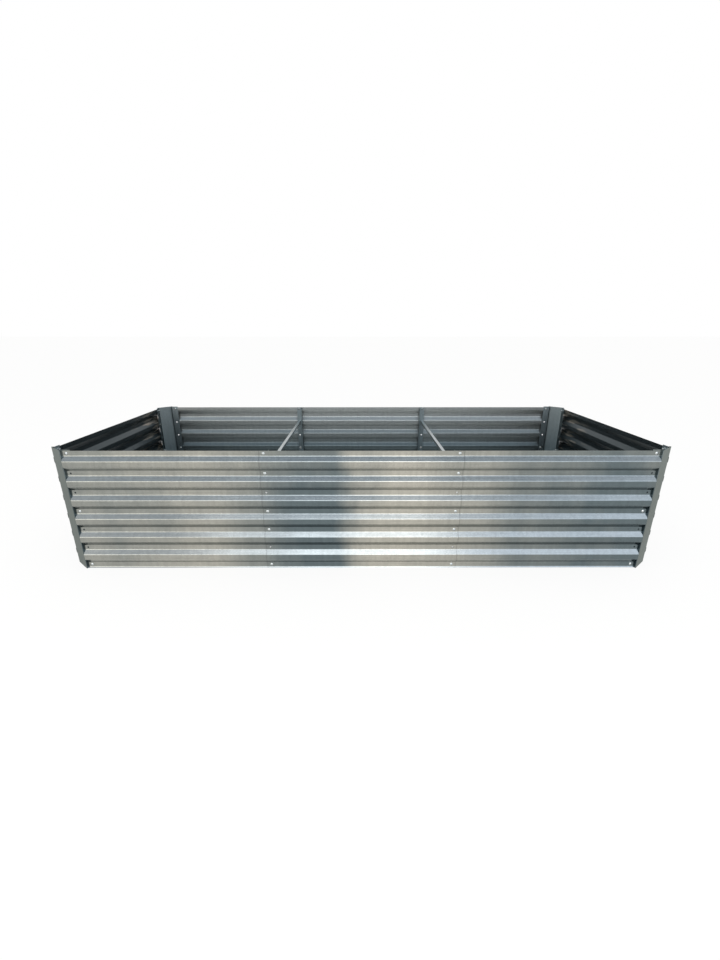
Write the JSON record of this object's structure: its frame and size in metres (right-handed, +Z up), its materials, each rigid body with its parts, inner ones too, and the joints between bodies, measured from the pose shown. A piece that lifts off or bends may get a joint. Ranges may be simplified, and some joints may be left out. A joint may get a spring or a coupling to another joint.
{
  "type": "raised garden bed",
  "caption": "Rectangular raised garden bed: open-bottomed ring of corrugated galvanised steel sheets bolted to slant-faced corner posts, with tie bars across it.",
  "frame": {"origin": "on the ground, at the middle of the bed's length and width", "axes": "+X along the bed's length, +Y from the front long wall to the back long wall, +Z up"},
  "size_m": [2.4384, 1.22, 0.4988],
  "materials": {
    "corrugated_steel": "galvanised, satin with a faint spangle",
    "folded_steel": "galvanised, satin",
    "tube_steel": "galvanised, satin",
    "plated_fasteners": "bright zinc plate"
  },
  "bodies": {
    "root": {"back_sheet_left": "corrugated_steel", "back_sheet_middle": "corrugated_steel", "back_sheet_right": "corrugated_steel", "bolts_back_post_left": "plated_fasteners", "bolts_back_post_right": "plated_fasteners", "bolts_back_seam_left": "plated_fasteners", "bolts_back_seam_right": "plated_fasteners", "bolts_front_post_left": "plated_fasteners", "bolts_front_post_right": "plated_fasteners", "bolts_front_seam_left": "plated_fasteners", "bolts_front_seam_right": "plated_fasteners", "bolts_left_post_back": "plated_fasteners", "bolts_left_post_front": "plated_fasteners", "bolts_right_post_back": "plated_fasteners", "bolts_right_post_front": "plated_fasteners", "corner_post_back_left": "folded_steel", "corner_post_back_right": "folded_steel", "corner_post_front_left": "folded_steel", "corner_post_front_right": "folded_steel", "front_sheet_left": "corrugated_steel", "front_sheet_middle": "corrugated_steel", "front_sheet_right": "corrugated_steel", "left_end_sheet": "corrugated_steel", "nuts_back_post_left": "plated_fasteners", "nuts_back_post_right": "plated_fasteners", "nuts_back_seam_left": "plated_fasteners", "nuts_back_seam_right": "plated_fasteners", "nuts_front_post_left": "plated_fasteners", "nuts_front_post_right": "plated_fasteners", "nuts_front_seam_left": "plated_fasteners", "nuts_front_seam_right": "plated_fasteners", "nuts_left_post_back": "plated_fasteners", "nuts_left_post_front": "plated_fasteners", "nuts_right_post_back": "plated_fasteners", "nuts_right_post_front": "plated_fasteners", "right_end_sheet": "corrugated_steel", "seam_stiffener_back_left": "folded_steel", "seam_stiffener_back_right": "folded_steel", "seam_stiffener_front_left": "folded_steel", "seam_stiffener_front_right": "folded_steel", "tie_bar_left": "tube_steel", "tie_bar_plugs_left": "plated_fasteners", "tie_bar_plugs_right": "plated_fasteners", "tie_bar_right": "tube_steel"}
  },
  "joints": []
}
